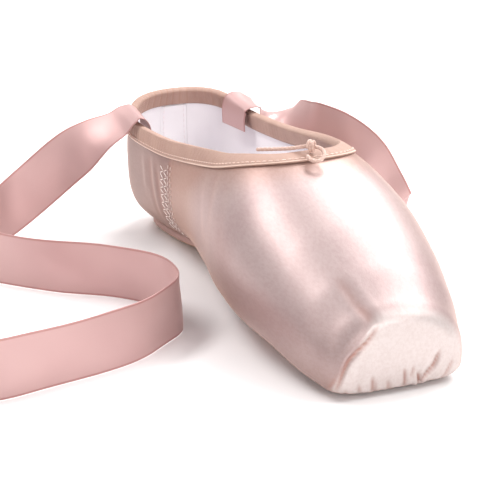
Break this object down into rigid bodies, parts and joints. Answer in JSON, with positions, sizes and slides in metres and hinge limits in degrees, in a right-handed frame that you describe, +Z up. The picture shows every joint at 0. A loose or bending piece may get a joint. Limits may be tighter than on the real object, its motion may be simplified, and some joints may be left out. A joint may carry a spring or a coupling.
{
  "type": "pointe shoe",
  "caption": "Satin pointe shoe with a stiff box, flat platform, bound collar with a drawstring, leather outsole and two ankle ribbons.",
  "frame": {"origin": "under the middle of the shoe's own box, on the floor", "axes": "+X from the heel to the toe, +Y to the wearer's left, +Z up from the floor"},
  "size_m": [0.2602, 0.2373, 0.0713],
  "materials": {
    "satin": "glossy satin weave",
    "binding": "matt woven tape",
    "sole_leather": "smooth split leather",
    "ribbon": "soft satin ribbon",
    "sock": "soft brushed cloth"
  },
  "bodies": {
    "root": {"outsole": "sole_leather", "upper": "satin", "insole": "sock", "collar_binding": "binding", "drawstring": "binding", "drawstring_knot": "binding", "ribbon_right": "ribbon", "ribbon_left": "ribbon"}
  },
  "joints": []
}
